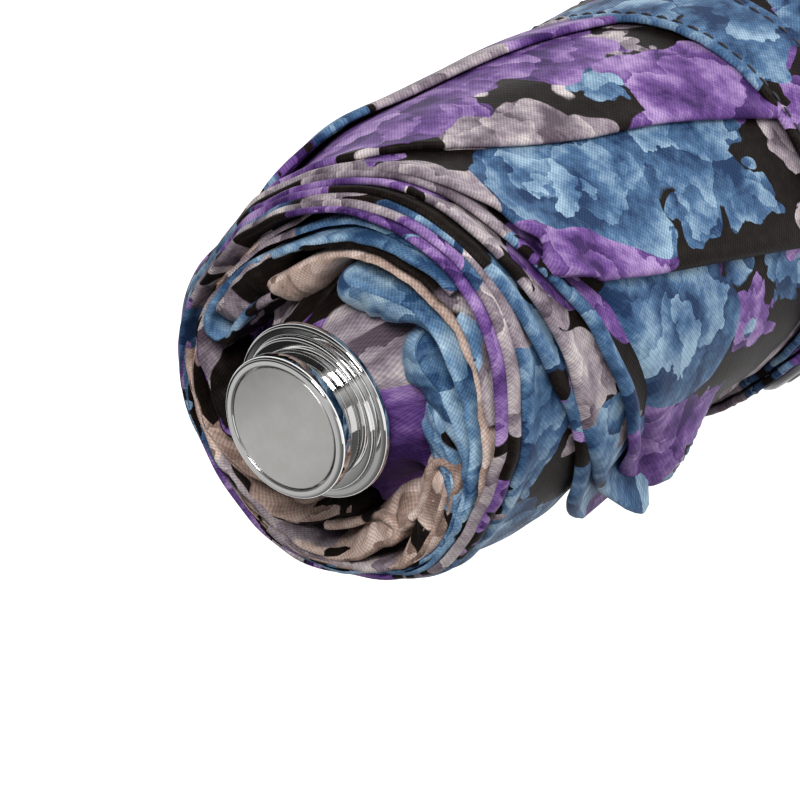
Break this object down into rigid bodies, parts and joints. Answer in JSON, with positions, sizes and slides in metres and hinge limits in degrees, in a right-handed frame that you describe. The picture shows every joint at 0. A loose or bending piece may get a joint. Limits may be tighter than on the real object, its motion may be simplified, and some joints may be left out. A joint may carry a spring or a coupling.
{
  "type": "folding umbrella",
  "caption": "Compact telescopic umbrella, closed: rolled floral canopy with wrap strap, chrome ferrule cap, folded rib frame and barrel handle.",
  "frame": {"origin": "centre of the handle's flat end face", "axes": "+Z along the shaft, from the handle to the ferrule cap; the strap's tab faces -Y"},
  "size_m": [0.0636, 0.0666, 0.28],
  "materials": {
    "chrome": "polished",
    "steel": "satin",
    "black_steel": "satin",
    "nylon": "matte",
    "lacquer": "gloss",
    "cloth": "satin"
  },
  "bodies": {
    "handle": {"handle_grip": "lacquer", "handle_collar": "chrome", "handle_end_cap": "chrome", "handle_pin": "steel", "lower_tube": "chrome", "lower_tube_bush": "nylon", "lower_tube_catch": "steel"},
    "middle_shaft": {"middle_tube": "chrome", "middle_tube_bush": "nylon", "middle_tube_catch": "steel"},
    "upper_shaft": {"ferrule_flange": "chrome", "ferrule_cap": "chrome", "ferrule_disc": "chrome", "snap_stud": "chrome", "runner_stop_ring": "steel", "upper_tube_plug": "steel", "crown_wire": "steel", "runner_wire": "steel", "ferrule_stud": "steel", "upper_tube": "black_steel", "inner_rib_1": "black_steel", "stretcher_1": "black_steel", "mid_rib_1": "black_steel", "outer_rib_1": "black_steel", "inner_rib_2": "black_steel", "stretcher_2": "black_steel", "mid_rib_2": "black_steel", "outer_rib_2": "black_steel", "inner_rib_3": "black_steel", "stretcher_3": "black_steel", "mid_rib_3": "black_steel", "outer_rib_3": "black_steel", "inner_rib_4": "black_steel", "stretcher_4": "black_steel", "mid_rib_4": "black_steel", "outer_rib_4": "black_steel", "inner_rib_5": "black_steel", "stretcher_5": "black_steel", "mid_rib_5": "black_steel", "outer_rib_5": "black_steel", "inner_rib_6": "black_steel", "stretcher_6": "black_steel", "mid_rib_6": "black_steel", "outer_rib_6": "black_steel", "inner_rib_7": "black_steel", "stretcher_7": "black_steel", "mid_rib_7": "black_steel", "outer_rib_7": "black_steel", "inner_rib_8": "black_steel", "stretcher_8": "black_steel", "mid_rib_8": "black_steel", "outer_rib_8": "black_steel", "crown": "nylon", "runner": "nylon", "canopy": "cloth", "canopy_patch": "cloth", "strap_band": "cloth"},
    "strap_tab": {"strap_tab": "cloth", "snap_cap": "chrome"}
  },
  "joints": [
    {"name": "middle_tube_slide", "type": "slide", "parent": "handle", "child": "middle_shaft", "axis": [0, 0, 1], "range_m": [0, 0.125]},
    {"name": "upper_tube_slide", "type": "slide", "parent": "middle_shaft", "child": "upper_shaft", "axis": [0, 0, 1], "range_m": [0, 0.125]},
    {"name": "strap_tab_hinge", "type": "hinge", "parent": "upper_shaft", "child": "strap_tab", "pos_m": [-0.02186, -0.02309, 0.1925], "axis": [0, 0, -1], "range_deg": [0, 110]}
  ]
}
